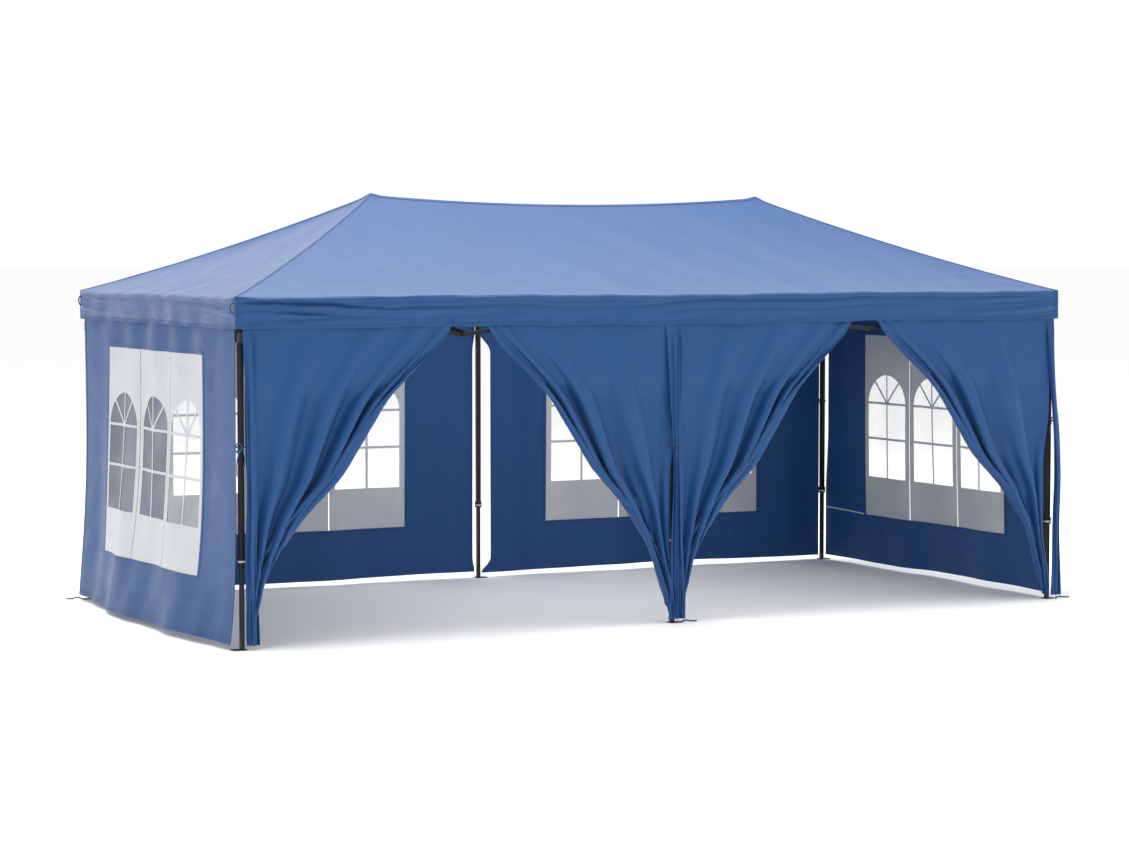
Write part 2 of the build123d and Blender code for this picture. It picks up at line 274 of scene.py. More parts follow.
def braid(name, color):
    """Twisted cord or woven strap."""
    n = Nodes(name, color, 0.75, Sheen_Weight=0.3)
    weave = n.math("ADD", n.wave("Object", 0.004, "DIAGONAL"), n.noise("Object", 300.0, 2.0))
    n.bump(weave, 0.0006)
    return n.done(n.mix(n.spread(n.noise("Object", 60.0), 0.0, 1.0), shade(color, 0.8), shade(color, 1.25)))


white_vinyl, window_film = vinyl(), film()
BLACK = (0.009, 0.009, 0.010)
black_paint = powder_coat("black_paint", BLACK)
lower_tube_paint = powder_coat("lower_tube_paint", BLACK, scuffed=True)
black_plastic = plastic("black_plastic", (0.016, 0.016, 0.017), 0.52)
ring_plastic = plastic("ring_plastic", (0.42, 0.43, 0.45), 0.5)
blue_strap = braid("blue_strap", shade(BLUE, 0.75))

FINISHES = (
    ("lower_leg_", lower_tube_paint),
    ("slider_", black_plastic),
    ("canopy_", roof_fabric),
    ("window_walls", wall_fabric),
    ("door_walls", wall_fabric),
    ("", black_paint),
)
for node_name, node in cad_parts.items():
    finish = next(m for start, m in FINISHES if node_name.startswith(start))
    node.data.materials.clear()
    node.data.materials.append(finish)


# ---- Building blocks ----------------------------------------------------------------------
def steps(low, high, size):
    """Evenly spaced numbers from low to high, about size apart."""
    return np.linspace(low, high, max(2, int(round(abs(high - low) / size)) + 1))


class Cloth:
    """Collects grids of points as one mesh: each grid is an array (rows, columns, 3)."""

    def __init__(self):
        self.points, self.faces, self.uvs = [], [], []
        self.count = 0

    def grid(self, points, uv, keep=None):
        rows, columns = points.shape[:2]
        index = self.count + np.arange(rows * columns).reshape(rows, columns)
        quads = np.stack((index[:-1, :-1], index[:-1, 1:], index[1:, 1:], index[1:, :-1]), axis=-1)
        if keep is not None:
            quads = quads[keep]
        self.faces += quads.reshape(-1, 4).tolist()
        self.points.append(points.reshape(-1, 3))
        self.uvs.append(uv.reshape(-1, 2))
        self.count += rows * columns

    def ribbon(self, first, second, width=BAND):
        """A strip between two lines of points, with UV along its length and across it."""
        line = (first + second) / 2
        along = np.concatenate(([0], np.cumsum(np.linalg.norm(np.diff(line, axis=0), axis=1))))
        uv = np.zeros((2, len(along), 2))
        uv[:, :, 0] = along
        uv[1, :, 1] = width
        self.grid(np.stack((first, second)), uv)

    def object(self, name, material, thickness=CLOTH):
        mesh = bpy.data.meshes.new(name)
        points = np.concatenate(self.points)
        mesh.from_pydata(points.tolist(), [], self.faces)
        uvs = np.concatenate(self.uvs)
        layer = mesh.uv_layers.new(name="UVMap")
        corners = np.empty(len(mesh.loops), dtype=np.int32)
        mesh.loops.foreach_get("vertex_index", corners)
        layer.data.foreach_set("uv", uvs[corners].astype(np.float32).ravel())
        mesh.materials.append(material)
        piece = bpy.data.objects.new(name, mesh)
        bpy.context.scene.collection.objects.link(piece)
        return finished(piece, thickness)


def finished(piece, thickness):
    """Welds, thickens and smooths a mesh piece, and bakes that into its mesh."""
    weld = piece.modifiers.new("weld", "WELD")
    weld.merge_threshold = 0.00005
    solid = piece.modifiers.new("solid", "SOLIDIFY")
    solid.thickness = thickness
    solid.offset = 0.0
    graph = bpy.context.evaluated_depsgraph_get()
    mesh = bpy.data.meshes.new_from_object(piece.evaluated_get(graph), depsgraph=graph)
    piece.modifiers.clear()
    piece.data = mesh
    mesh.name = piece.name
    mesh.polygons.foreach_set("use_smooth", [True] * len(mesh.polygons))
    mesh.set_sharp_from_angle(angle=radians(50))
    return piece


def settle(piece, body, axis, anchor, keep, *nodes):
    """The piece moves with a body and stands for nodes, which are hidden; axis, anchor and keep are not
    used.
    """
    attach(piece, body)
    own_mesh(piece)
    if nodes:
        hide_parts(*nodes)


def ripple(x, *waves):
    """Sum of sines: each wave is its height, its length and where it starts."""
    return sum(height * np.sin(2 * pi * (x - start) / length) for height, length, start in waves)


def bell(x, middle, width):
    return np.exp(-(((x - middle) / width) ** 2))


def ease(x):
    x = np.clip(x, 0, 1)
    return x * x * (3 - 2 * x)


# ---- Roof cover ---------------------------------------------------------------------------
HIP_SAG, SLOPE_SAG, RIDGE_SAG = 0.032, 0.060, 0.055
RISE = PEAK_Z - EAVE_Z
# Each side: the unit vector of its eave line, the way indoors, its half eave, half ridge and
# the body that its CAD slope belongs to.
SIDES = {
    "front": ((1, 0), (0, 1), EAVE_X, HALF_BAY),
    "back": ((-1, 0), (0, -1), EAVE_X, HALF_BAY),
    "left": ((0, -1), (1, 0), EAVE_Y, 0.0),
    "right": ((0, 1), (-1, 0), EAVE_Y, 0.0),
}


def eave_wave(side, s):
    """How far the eave dips and leans out at s metres from the middle of a side."""
    half = SIDES[side][2]
    inside = 1 - np.abs(s / half) ** 6
    phase = {"front": 0.0, "back": 0.7, "left": 0.3, "right": 1.1}[side]
    dip = -0.004 * inside * (1 + np.cos(2 * pi * s / BAY + pi * (side in ("left", "right"))))
    dip = dip + inside * ripple(s, (0.0022, 0.61, phase), (0.0013, 0.27, phase))
    out = inside * ripple(s, (0.004, 1.13, phase), (0.002, 0.37, phase))
    return dip, out


# Hollows near the eave: metres from the middle, share of the way up, size and depth.
DIMPLES = {
    "front": (
        (-2.2, 0.16, 0.10, 0.007),
        (-0.25, 0.10, 0.12, 0.008),
        (0.95, 0.14, 0.10, 0.006),
        (2.35, 0.2, 0.13, 0.009),
    ),
    "back": ((-1.5, 0.14, 0.12, 0.007), (1.1, 0.12, 0.12, 0.007)),
    "left": ((0.3, 0.15, 0.12, 0.006),),
    "right": ((-0.4, 0.15, 0.12, 0.006),),
}


def roof_points(side, c, v, lift=0.0):
    """Points of one slope: c runs from -1 to 1 along a row, v from the eave to the ridge."""
    along, inward, half, ridge = SIDES[side]
    width = half + (ridge - half) * v
    s = c * width
    depth = EAVE_Y * v
    start = EAVE_X if ridge == 0 else EAVE_Y
    top = RIDGE_SAG if ridge else 0.0
    sag = HIP_SAG + (SLOPE_SAG - HIP_SAG) * (1 - c**4)
    z = EAVE_Z + RISE * v - 4 * v * (1 - v) * sag - top * v * v * (1 - c * c)
    inside = (1 - c**6) * np.sin(pi * np.clip(v, 0, 1))
    # long soft folds that fan out from the peaks, and a few dimples near the eave
    fan = ripple(s + 0.8 * v, (0.0050, 0.95, 0.1), (0.0025, 0.43, 0.0)) * (0.3 + 0.7 * v)
    z = z + inside * fan * (1.0 if ridge else 0.5)
    for middle, up, size, deep in DIMPLES[side]:
        z = z - deep * bell(s, middle, size) * bell(v, up, size) * (1 - c**6)
    corner = bell(s, half, 0.9) + bell(s, -half, 0.9)
    # folds that run along the eave near the corners
    gather = np.sin(2 * pi * v / 0.115 + 2.2 * np.abs(c)) * v**0.5 * (1 - v) ** 3
    z = z + 0.0070 * corner * (1 - c**10) * gather
    # the cover peaks a little over the pole caps
    z = z + 0.012 * bell(np.abs(s), ridge, 0.05) * bell(v, 1, 0.035)
    dip, out = eave_wave(side, s)
    near = (1 - v) ** 5
    z = z + dip * near + lift
    reach = -start + depth - out * near
    x = along[0] * s + inward[0] * reach
    y = along[1] * s + inward[1] * reach
    return np.stack(np.broadcast_arrays(x, y, z), axis=-1)


def side_fold(side):
    """Axis, anchor and share kept for a side of the cover; nothing squeezes the cover with them."""
    if SIDES[side][3]:
        return X_AXIS, (0, 0, 0), KEEP_X
    return Y_AXIS, (0, -EAVE_Y, 0), KEEP_Y


SLOPE_LENGTH = hypot(EAVE_Y, RISE)
SEAM_LIFT = 0.0022  # seams lie this far above the cloth's middle


def hip_and_ridge_seams(side):
    """The felled seams along the hips, and along the ridge of the long slopes."""
    half, ridge = SIDES[side][2:]
    seams = Cloth()
    if ridge:
        line = np.linspace(-1, 1, 90)
        below = 1 - BAND / SLOPE_LENGTH
        seams.ribbon(roof_points(side, line, 1.0, SEAM_LIFT), roof_points(side, line, below, SEAM_LIFT))
    for end in (-1, 1):
        rows = np.linspace(0, 1 if ridge else 1 - 0.02, 70)
        width = (0.5 if ridge else 1.0) * BAND / (half + (ridge - half) * rows)
        outer = roof_points(side, end * 1.0, rows, SEAM_LIFT)
        seams.ribbon(outer, roof_points(side, end * (1 - width), rows, SEAM_LIFT))
    return seams.object(f"roof_{side}_seams", band_fabric, BAND_CLOTH)


for side, (_, _, half, ridge) in SIDES.items():
    cloth = Cloth()
    v = np.linspace(0, 1, 61)[:, None]
    c = np.linspace(-1, 1, int(2 * half / 0.03) | 1)[None, :]
    points = roof_points(side, c, v)
    across = c * (half + (ridge - half) * v) + half
    cloth.grid(points, np.stack(np.broadcast_arrays(across, v * SLOPE_LENGTH), axis=-1))
    piece = cloth.object(f"roof_{side}", roof_fabric)
    body = f"canopy_{side}"
    settle(piece, body, *side_fold(side), f"canopy_{side}")
    seam = hip_and_ridge_seams(side)
    settle(seam, body, *side_fold(side))


# ---- Valances -----------------------------------------------------------------------------
VALANCE_BODY = {
    "front": "leg_front_middle",
    "back": "leg_back_middle",
    "left": "leg_front_left",
    "right": "leg_front_right",
}
HEM_LIFT = 0.0016  # hems lie this far outside the cloth's middle


def valance_points(side, s, t, lift=0.0):
    """Points of a valance: s along the side from its middle, t from 0 at the eave to 1 at the hem."""
    along, inward, half, ridge = SIDES[side]
    dip, out = eave_wave(side, s)
    inside = 1 - np.abs(s / half) ** 30
    corner = bell(s, -half, 0.95) + bell(s, half, 0.75)
    flat = ripple(t * VALANCE + 0.035 * np.sin(s * 2.1), (0.0080, 0.085, 0.0), (0.0048, 0.041, 0.01))
    lean = 0.65 if ridge else 1.6
    slant = ripple(s + lean * t, (0.0060, 0.92, 0.1), (0.0030, 0.39, 0.0)) * (0.35 + 0.65 * t)
    folds = flat * corner * (1.0 if ridge else 0.5) + slant * 0.6
    if side in ("front", "back"):
        # loose cloth rolls into long tucks just under the eave, most of all near one corner
        where = t * VALANCE + 0.012 * np.sin(4.3 * s + 0.5) + 0.02 * np.sin(1.3 * s)
        tucks = ripple(where, (0.013, 0.055, 0.010), (0.005, 0.029, 0.0)) * bell(t, 0.24, 0.36)
        folds = folds + tucks * (1.2 * bell(s, -half, 1.6) + 0.5 * bell(s, 0.3 * half, 1.2))
    hem = 0.006 * t * ripple(s, (1.0, 0.83, 0.2), (0.5, 0.31, 0.0))
    # a soft roll where the cloth turns over the eave
    roll = 0.012 * np.sin(pi * np.clip(t / 0.17, 0, 1)) + 0.003 * ease(t * 4)
    push = out + inside * (folds * np.sin(pi * np.clip(t * 0.92 + 0.04, 0, 1)) + hem) + roll * inside + lift
    start = EAVE_X if ridge == 0 else EAVE_Y
    z = EAVE_Z + dip - VALANCE * t + inside * 0.003 * np.sin(2 * pi * s / 0.7) * t
    x = along[0] * s - inward[0] * (start + push)
    y = along[1] * s - inward[1] * (start + push)
    return np.stack(np.broadcast_arrays(x, y, z), axis=-1)


for side, (_, _, half, _) in SIDES.items():
    cloth = Cloth()
    s = steps(-half, half, 0.02)[None, :]
    t = np.linspace(0, 1, 31)[:, None]
    uv = np.stack(np.broadcast_arrays(s + half, -t * VALANCE), axis=-1)
    cloth.grid(valance_points(side, s, t), uv)
    piece = cloth.object(f"valance_{side}", roof_fabric)
    bands = Cloth()
    line = s[0]
    band_top = 1 - BAND / VALANCE
    bands.ribbon(valance_points(side, line, 1.0, HEM_LIFT), valance_points(side, line, band_top, HEM_LIFT))
    for end in (-1, 1):
        down = np.linspace(0.02, 1, 20)
        outer = valance_points(side, end * half, down, HEM_LIFT)
        bands.ribbon(outer, valance_points(side, end * (half - BAND), down, HEM_LIFT))
    band = bands.object(f"valance_{side}_hem", band_fabric, BAND_CLOTH)
    settle(piece, VALANCE_BODY[side], *side_fold(side), f"canopy_{side}")
    settle(band, VALANCE_BODY[side], *side_fold(side))


# ---- Window walls -------------------------------------------------------------------------
MESH = 0.035  # size of a wall's quads
# How far each layer lies outdoors of the wall's cloth.
PRINT_LIFT, FILM_LIFT, BAND_LIFT, INNER_BAND_LIFT = 0.0011, -0.0022, 0.0018, -0.0036
FILM_EDGE = 0.01  # the film reaches this far under the window's bindings


def left_shape(u, z):
    """Outward push and sideways shift of the left wall; u runs from the front to the back."""
    down = (WALL_TOP - z) / WALL_HEIGHT
    s = (u + WALL_HALF) / (2 * WALL_HALF)
    out = (0.46 * s - 0.43 * s * s) * down**2.6 + 0.05 * (1 - s) * down**6
    out = out + 0.010 * (1 - 0.5 * down) * np.sin(2 * pi * s * 6.5) * np.sin(pi * np.clip(s, 0, 1))
    out = out + 0.020 * down * np.sin(2 * pi * (s * 2.6 + 0.6 * down)) * ease(s * 4)
    out = out + 0.008 * down**2 * np.sin(2 * pi * (s * 7.1 - 0.8 * down)) * ease(s * 6)
    return out, -0.025 * down**3 * (1 - s)


def right_shape(u, z):
    down = (WALL_TOP - z) / WALL_HEIGHT
    s = (u + WALL_HALF) / (2 * WALL_HALF)
    ends = np.sin(pi * np.clip(s, 0, 1)) ** 0.6
    out = down**2.5 * ends * (0.045 + 0.022 * np.sin(2 * pi * (s * 2.4 + 0.1)))
    slack = 0.030 * ease((u - WALL_HALF + 0.4) / 0.4) * ease((1.80 - z) / 0.12) * ease((z - 0.50) / 0.5)
    return out + 0.007 * np.sin(2 * pi * s * 5.5 + 2 * down) * ends, -slack


def back_shape(phase, slack_side, slack):
    """A back wall whose one edge hangs slack by the middle leg."""
    def shape(u, z):
        down = (WALL_TOP - z) / WALL_HEIGHT
        s = (u + WALL_HALF) / (2 * WALL_HALF)
        ends = np.sin(pi * np.clip(s, 0, 1)) ** 0.6
        out = 0.008 * np.sin(2 * pi * s * 6.0 + phase) * ends
        out = out + down**2 * ends * (0.018 + 0.018 * np.sin(2 * pi * (s * 2.2 + phase)))
        near = ease(1 - (WALL_HALF - slack_side * u) / 0.45)
        free = ease((1.80 - z) / 0.16) * (0.25 + 0.75 * ease((z - WALL_HEM) / 0.10))
        return out, -slack_side * slack * near * free
    return shape


LEFT_LINE, RIGHT_LINE, BACK_LINE = -BAY - WALL_OUT, BAY + WALL_OUT, BACK_Y + WALL_OUT
FOLD_END = (Y_AXIS, (0, FRONT_Y, 0))
FOLD_BACK = (X_AXIS, (0, 0, 0))
# Each wall: middle of its bay on the wall line, the way u runs, the way outdoors, its shape,
# its body, and the axis and anchor of its squeeze.
WALLS = {
    "left": ((LEFT_LINE, 0), (0, 1), (-1, 0), left_shape, "leg_front_left", *FOLD_END),
    "right": ((RIGHT_LINE, 0), (0, 1), (1, 0), right_shape, "leg_front_right", *FOLD_END),
    "back_left": (
        (-HALF_BAY, BACK_LINE), (1, 0), (0, 1), back_shape(0.4, 1, 0.02), "leg_back_middle", *FOLD_BACK),
    "back_right": (
        (HALF_BAY, BACK_LINE), (1, 0), (0, 1), back_shape(1.9, -1, 0.10), "leg_back_middle", *FOLD_BACK),
}


def wall_points(name, u, z, lift=0.0):
    """Points of a wall at u metres from its middle and height z; lift is outdoors."""
    (middle_x, middle_y), (ux, uy), (ox, oy), shape = WALLS[name][:4]
    u, z = np.broadcast_arrays(np.asarray(u, float), np.asarray(z, float))
    out, shift = shape(u, z)
    drop = 0.006 * np.sin(2.3 * u + middle_x) * np.clip((0.6 - z) / 0.6, 0, 1)  # an uneven hem
    out = out + lift
    x = middle_x + ux * (u + shift) + ox * out
    y = middle_y + uy * (u + shift) + oy * out
    return np.stack((x, y, z + drop), axis=-1)


def band_between(cloth, name, start, end, side, lift, width=BAND):
    """Ribbon on a wall from start to end (u, z), width to the given side (du, dz)."""
    count = max(2, int(hypot(end[0] - start[0], end[1] - start[1]) / 0.03))
    f = np.linspace(0, 1, count)
    u = start[0] + (end[0] - start[0]) * f
    z = start[1] + (end[1] - start[1]) * f
    first = wall_points(name, u, z, lift)
    second = wall_points(name, u + side[0] * width, z + side[1] * width, lift)
    cloth.ribbon(first, second, width)


def arch_height(x):
    """Top of a pane at x metres from its middle: an elliptical arch over the spring line."""
    return SPRING + (ARCH_TOP - SPRING) * np.sqrt(np.clip(1 - (x / PANE_HALF) ** 2, 0, 1))


def patch(cloth, name, us, lows, highs, rows):
    """Grid between two lines over the same u values."""
    f = np.linspace(0, 1, rows)[:, None]
    z = lows[None, :] + (highs - lows)[None, :] * f
    u = np.broadcast_to(us[None, :], z.shape)
    cloth.grid(wall_points(name, u, z), np.stack((u, z), axis=-1))


def glazing_bars():
    """The printed lines of one pane, each from (x, z) to (x, z), x from the pane's middle."""
    bars = [((-PANE_HALF, z), (PANE_HALF, z)) for z in (CROSSBAR, SPRING)]
    bars.append(((0, PANE_LOW), (0, ARCH_TOP)))
    for angle in (radians(48), radians(132)):
        end = (PANE_HALF * cos(angle), SPRING + (ARCH_TOP - SPRING) * sin(angle))
        bars.append(((0, SPRING), end))
    return bars


def white_strips(name):
    """Three vinyl strips, each cut out for an arched pane and printed with glazing bars."""
    cloth = Cloth()
    for middle in STRIPS:
        for way in (-1, 1):
            us = steps(middle + way * PANE_HALF, middle + way * STRIP_HALF, 0.02)
            span = np.ones_like(us)
            patch(cloth, name, us, span * WINDOW_LOW, span * WINDOW_HIGH, 46)
        local = PANE_HALF * np.sin(np.linspace(-1, 1, 33) * pi / 2)
        us, span = middle + local, np.ones_like(local)
        patch(cloth, name, us, span * WINDOW_LOW, span * PANE_LOW, 10)
        patch(cloth, name, us, arch_height(local), span * WINDOW_HIGH, 14)
        for (x0, z0), (x1, z1) in glazing_bars():
            length = hypot(x1 - x0, z1 - z0)
            across = (-(z1 - z0) / length, (x1 - x0) / length)
            start = (middle + x0 - across[0] * MUNTIN / 2, z0 - across[1] * MUNTIN / 2)
            end = (middle + x1 - across[0] * MUNTIN / 2, z1 - across[1] * MUNTIN / 2)
            band_between(cloth, name, start, end, across, PRINT_LIFT, MUNTIN)
    return cloth.object(f"wall_{name}_vinyl", white_vinyl, VINYL_CLOTH)


def lines_with(low, inner_low, inner_high, high):
    """Grid lines from low to high, with one on each edge of the window."""
    return np.concatenate((
        steps(low, inner_low, MESH)[:-1],
        steps(inner_low, inner_high, MESH),
        steps(inner_high, high, MESH)[1:],
    ))


def panel_with_hole(name):
    us = lines_with(-WALL_HALF, -WINDOW_HALF, WINDOW_HALF, WALL_HALF)
    zs = lines_with(WALL_HEM, WINDOW_LOW, WINDOW_HIGH, WALL_TOP)
    grid_u, grid_z = np.meshgrid(us, zs)
    mid_u, mid_z = (us[:-1] + us[1:]) / 2, (zs[:-1] + zs[1:]) / 2
    beside = np.abs(mid_u) < WINDOW_HALF
    level = (mid_z > WINDOW_LOW) & (mid_z < WINDOW_HIGH)
    cloth = Cloth()
    uv = np.stack((grid_u, grid_z), axis=-1)
    cloth.grid(wall_points(name, grid_u, grid_z), uv, ~(beside[None, :] & level[:, None]))
    return cloth.object(f"wall_{name}", wall_fabric)


def clear_film(name):
    """One sheet of film behind the vinyl strips, a little larger than the window."""
    us = steps(-WINDOW_HALF - FILM_EDGE, WINDOW_HALF + FILM_EDGE, MESH)
    zs = steps(WINDOW_LOW - FILM_EDGE, WINDOW_HIGH + FILM_EDGE, MESH)
    grid_u, grid_z = np.meshgrid(us, zs)
    cloth = Cloth()
    cloth.grid(wall_points(name, grid_u, grid_z, FILM_LIFT), np.stack((grid_u, grid_z), axis=-1))
    return cloth.object(f"wall_{name}_film", window_film, FILM_CLOTH)


def wall_bands(name):
    """Bindings round the window, on both faces, and round the wall, outside."""
    bands = Cloth()
    side = WINDOW_HALF - 0.004
    reach = WINDOW_HALF + BAND / 2
    low, high = WINDOW_LOW, WINDOW_HIGH
    for lift in (BAND_LIFT, INNER_BAND_LIFT):
        band_between(bands, name, (-reach, low), (reach, low), (0, -1), lift)
        band_between(bands, name, (-reach, high), (reach, high), (0, 1), lift)
        band_between(bands, name, (-side, low), (-side, high), (-1, 0), lift)
        band_between(bands, name, (side, low), (side, high), (1, 0), lift)
    corners = {(u, v): (u * WALL_HALF, WALL_TOP if v > 0 else WALL_HEM) for u in (-1, 1) for v in (-1, 1)}
    band_between(bands, name, corners[-1, -1], corners[1, -1], (0, 1), BAND_LIFT)
    band_between(bands, name, corners[-1, 1], corners[1, 1], (0, -1), BAND_LIFT)
    band_between(bands, name, corners[-1, -1], corners[-1, 1], (1, 0), BAND_LIFT)
    band_between(bands, name, corners[1, -1], corners[1, 1], (-1, 0), BAND_LIFT)
    return bands.object(f"wall_{name}_bands", band_fabric, BAND_CLOTH)


def white_piping(name):
    """A length of white piping that shows between the window and the back leg."""
    piping = Cloth()
    start, end = (WINDOW_HALF + BAND, 0.385), (WALL_HALF - 0.01, 0.40)
    band_between(piping, name, start, end, (0, 1), -0.004, 0.011)
    return piping.object(f"wall_{name}_piping", white_vinyl, BAND_CLOTH)


def wall(name):
    body, axis, anchor = WALLS[name][4:]
    panel = panel_with_hole(name)
    trim = [white_strips(name), clear_film(name), wall_bands(name)]
    if name == "right":
        settle(white_piping(name), body, axis, anchor, KEEP_WALL)
    settle(panel, body, axis, anchor, KEEP_WALL, "window_walls")
    for piece in trim:
        settle(piece, body, axis, anchor, KEEP_WALL)


for wall_name in WALLS:
    wall(wall_name)


# ---- Door curtains, by cloth simulation ---------------------------------------------------
CURTAIN_WIDTH, CURTAIN_APEX = 1.44, 1.37
FREE_EDGE = 1.93  # from the top of a drawn curtain's free edge to its foot
COLUMNS, ROWS = 48, 60
SIM_FRAMES, DRAW_FRAMES = 64, 40
HANGING = 0.24  # share of a curtain that hangs straight down beside its leg
LAPEL = 0.085  # width of the turned back edge
TIE_Z = 1.15  # height of the tie at the front middle leg


def gathered_hem(share, pleats, lean, tail):
    """Where a point of the hem goes when the curtain is drawn; share runs from the leg."""
    rise = WALL_TOP - (FREE_EDGE**2 - (CURTAIN_APEX * share * lean) ** 2) ** 0.5
    # the first part hangs beside the leg, and the rest is bunched behind it
    f = (share - HANGING) / (1 - HANGING)
    swing = 2 * abs((f * pleats + 0.25) % 1 - 0.5) * 2 - 1
    if f <= 0:
        across = tail * share / HANGING
        outdoors = 0.012 * sin(5 * pi * share / HANGING)
    else:
        across = tail * (0.75 - 0.35 * f + 0.15 * swing)
        outdoors = -0.028 - 0.016 * swing
    return 0.015 + across, outdoors, max(rise, WALL_HEM)


def drawn_curtain(pleats, lean, tail):
    """A door half drawn to its leg: x from the leg axis, y outdoors, z up. Rows from the top."""
    s, t = np.meshgrid(np.linspace(0, 1, COLUMNS + 1), np.linspace(0, 1, ROWS + 1))
    start = np.stack((0.01 + CURTAIN_APEX * s, 0 * s, WALL_TOP - WALL_HEIGHT * t), axis=-1)
    start = start.reshape(-1, 3)
    mesh = bpy.data.meshes.new("curtain_draft")
    index = np.arange(len(start)).reshape(ROWS + 1, COLUMNS + 1)
    quads = np.stack((index[:-1, :-1], index[:-1, 1:], index[1:, 1:], index[1:, :-1]), axis=-1)
    mesh.from_pydata(start.tolist(), [], quads.reshape(-1, 4).tolist())
    draft = bpy.data.objects.new("curtain_draft", mesh)
    bpy.context.scene.collection.objects.link(draft)
    held = draft.vertex_groups.new(name="held")
    held.add(sorted({*index[0].tolist(), *index[:, 0].tolist(), *index[-1].tolist()}), 1.0, "REPLACE")
    draft.shape_key_add(name="Basis")
    gathered = draft.shape_key_add(name="gathered")
    for i in range(COLUMNS + 1):
        gathered.data[int(index[-1, i])].co = gathered_hem(i / COLUMNS, pleats, lean, tail)
    gathered.value = 0
    gathered.keyframe_insert("value", frame=1)
    gathered.value = 1
    gathered.keyframe_insert("value", frame=DRAW_FRAMES)
    modifier = draft.modifiers.new("cloth", "CLOTH")
    settings = modifier.settings
    settings.quality = 6
    settings.mass = 0.15
    settings.tension_stiffness = 25
    settings.compression_stiffness = 25
    settings.shear_stiffness = 8
    settings.bending_stiffness = 0.6
    settings.tension_damping = 10
    settings.compression_damping = 10
    settings.shear_damping = 8
    settings.bending_damping = 0.8
    settings.air_damping = 3
    settings.vertex_group_mass = "held"
    modifier.point_cache.frame_start = 1
    modifier.point_cache.frame_end = SIM_FRAMES
    for number in range(1, SIM_FRAMES + 1):
        bpy.context.scene.frame_set(number)
    graph = bpy.context.evaluated_depsgraph_get()
    result = draft.evaluated_get(graph)
    points = np.array([v.co for v in result.data.vertices]).reshape(ROWS + 1, COLUMNS + 1, 3)
    bpy.data.objects.remove(draft)
    return points


def smoother(points, factor):
    """Finer rows and columns by a cubic through the simulated points."""
    for axis in (0, 1):
        count = points.shape[axis]
        at = np.linspace(0, count - 1, (count - 1) * factor + 1)
        low = np.clip(at.astype(int), 0, count - 2)
        f = (at - low).reshape((-1, 1, 1) if axis == 0 else (1, -1, 1))
        a, b, c, d = (np.take(points, np.clip(low + i, 0, count - 1), axis=axis) for i in (-1, 0, 1, 2))
        points = b + 0.5 * f * (c - a + f * (2 * a - 5 * b + 4 * c - d + f * (3 * (b - c) + d - a)))
    return points


def lapel(points):
    """The free edge turned back over the outside: rows across, from the edge inwards."""
    columns = points.shape[1] - 1
    rows = np.linspace(0, 1, points.shape[0])
    wide = LAPEL * (1 - ease((rows - 0.55) / 0.35)) * ease(rows * 14 + 0.25) + 0.012
    out = []
    for f in np.linspace(0, 1, 7):
        at = columns - wide / CURTAIN_WIDTH * columns * f
        low = np.clip(at.astype(int), 0, columns - 1)
        part = (at - low)[:, None]
        row = np.arange(len(rows))
        line = points[row, low] * (1 - part) + points[row, low + 1] * part
        line[:, 1] += 0.0035 + 0.009 * np.sin(pi * min(1.0, f * 1.15 + 0.02)) ** 0.7
        out.append(line)
    return np.stack(out, axis=1)


def shaped(drape, reach, edge_x, parted):
    """A simulated drape pulled in below its top, and kept off the truss near its top."""
    local = smoother(drape, 2)
    x, y, z = local[..., 0], local[..., 1], local[..., 2]
    x = x * (1 + (reach - 1) * ease((z - 0.3) / 0.8))
    # the tie and the cloth's own weight pull the drawn part closer to the leg below the top
    pull = 1 - 0.13 * ease((1.9 - z) / 0.5) - 0.20 * ease((1.05 - z) / 0.4)
    pull = pull - 0.22 * ease((0.72 - z) / 0.4)
    x = 0.03 + (x - 0.03) * np.where(x > 0.03, pull, 1.0)
    by_leg = 1 - ease(x / 0.2)
    x = x + (edge_x - 0.01 + parted * ease((1.35 - z) / 0.45) * ease((z - 0.15) / 0.35)) * by_leg
    # near the top the cloth lies against the truss and the slider, and cannot sink into them
    against = ease((z - 1.45) / 0.15)
    lifted = -0.003 + (y + 0.003 + np.sqrt((y + 0.003) ** 2 + 0.006**2)) / 2
    return np.stack((x, y + (lifted - y) * against, z), axis=-1)


def placed(points, leg_x, way):
    """Points of a drape moved to its leg, in the frame's own axes."""
    x, y, z = points[..., 0], points[..., 1], points[..., 2]
    return np.stack((leg_x + way * x, FRONT_Y - WALL_OUT - y, z), axis=-1)


def cloth_uv(points, width):
    across, down = np.linspace(0, width, points.shape[1]), np.linspace(0, WALL_HEIGHT, points.shape[0])
    return np.stack(np.meshgrid(across, down), axis=-1)


DRAPES = {"full": drawn_curtain(5.0, 0.96, 0.070), "flat": drawn_curtain(4.0, 1.0, 0.075)}
